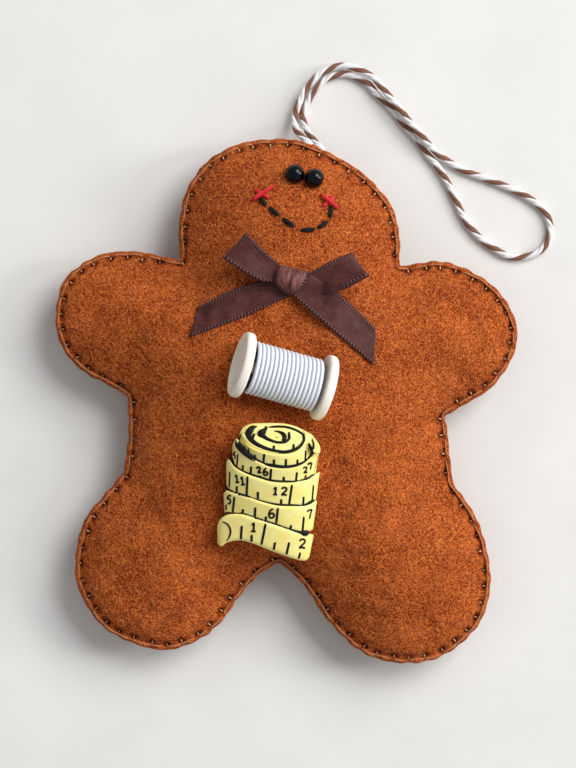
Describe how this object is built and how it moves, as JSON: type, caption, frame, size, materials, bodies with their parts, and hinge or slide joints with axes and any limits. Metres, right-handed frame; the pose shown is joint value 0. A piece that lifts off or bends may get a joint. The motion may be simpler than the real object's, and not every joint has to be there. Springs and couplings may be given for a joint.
{
  "type": "felt christmas ornament",
  "caption": "Flat stuffed felt gingerbread figure with a stitched edge, bead eyes, floss smile, ribbon bow, spool and tape buttons and a twine loop to hang it by.",
  "frame": {"origin": "on the table under the middle of the felt figure's box, which lies on its back", "axes": "+X to the right of someone looking at the front, +Y to the head, +Z out of the front"},
  "size_m": [0.1003, 0.121, 0.0267],
  "materials": {
    "felt": "rust-brown craft felt, fibrous and matt",
    "stuffing": "white fibre filling",
    "edge_thread": "copper-brown sewing floss with a soft sheen",
    "twine": "brown and white twisted cotton",
    "bead": "glossy black",
    "black_floss": "black stranded floss",
    "red_floss": "red stranded floss",
    "ribbon": "dark brown satin with a dotted selvage",
    "reel": "ivory, satin sheen",
    "winding": "silvery thread",
    "tape": "pale yellow with black numerals and ticks, satin sheen"
  },
  "bodies": {
    "ornament": {"front_felt": "felt", "back_felt": "felt", "stuffing_torso": "stuffing", "stuffing_head": "stuffing", "stuffing_right_arm": "stuffing", "stuffing_right_leg": "stuffing", "stuffing_left_leg": "stuffing", "stuffing_left_arm": "stuffing", "edge_thread": "edge_thread", "twine_knot": "twine", "eye_thread": "black_floss", "smile_stitch_1": "black_floss", "smile_stitch_2": "black_floss", "smile_stitch_3": "black_floss", "smile_stitch_4": "black_floss", "smile_stitch_5": "black_floss", "smile_stitch_6": "black_floss", "left_cheek_under_stitch": "red_floss", "left_cheek_over_stitch": "red_floss", "right_cheek_under_stitch": "red_floss", "right_cheek_over_stitch": "red_floss", "bow_knot": "ribbon", "bow_left_loop": "ribbon", "bow_right_loop": "ribbon", "spool_sewing_thread": "black_floss", "tape_sewing_thread": "black_floss"},
    "hang_loop": {"hang_twine": "twine"},
    "left_eye": {"left_eye_bead": "bead"},
    "right_eye": {"right_eye_bead": "bead"},
    "left_tail": {"bow_left_tail": "ribbon"},
    "right_tail": {"bow_right_tail": "ribbon"},
    "spool_button": {"spool_reel": "reel", "spool_winding": "winding"},
    "tape_button": {"tape_coil": "tape"}
  },
  "joints": [
    {"name": "loop_swing", "type": "hinge", "parent": "ornament", "child": "hang_loop", "pos_m": [0.00608, 0.05188, 0.007], "axis": [0.8351, -0.5501, 0], "range_deg": [0, 100]},
    {"name": "left_eye_spin", "type": "hinge", "parent": "ornament", "child": "left_eye", "pos_m": [0.00167, 0.04482, 0.01368], "axis": [0.977, -0.2119, 0.0237], "continuous": true},
    {"name": "right_eye_spin", "type": "hinge", "parent": "ornament", "child": "right_eye", "pos_m": [0.00553, 0.04398, 0.01377], "axis": [0.977, -0.2119, 0.0237], "continuous": true},
    {"name": "left_tail_lift", "type": "hinge", "parent": "ornament", "child": "left_tail", "pos_m": [-0.0008, 0.0221, 0.0182], "axis": [-0.3511, 0.9363, 0], "range_deg": [0, 30]},
    {"name": "right_tail_lift", "type": "hinge", "parent": "ornament", "child": "right_tail", "pos_m": [0.0022, 0.0218, 0.0182], "axis": [-0.6203, -0.7844, 0], "range_deg": [0, 30]},
    {"name": "spool_turn", "type": "hinge", "parent": "ornament", "child": "spool_button", "pos_m": [-0.0016, 0.0052, 0.0178], "axis": [0, 0, 1], "range_deg": [-8, 8]},
    {"name": "tape_turn", "type": "hinge", "parent": "ornament", "child": "tape_button", "pos_m": [-0.0035, -0.0175, 0.0173], "axis": [0, -0.1564, 0.9877], "range_deg": [-8, 8]}
  ]
}
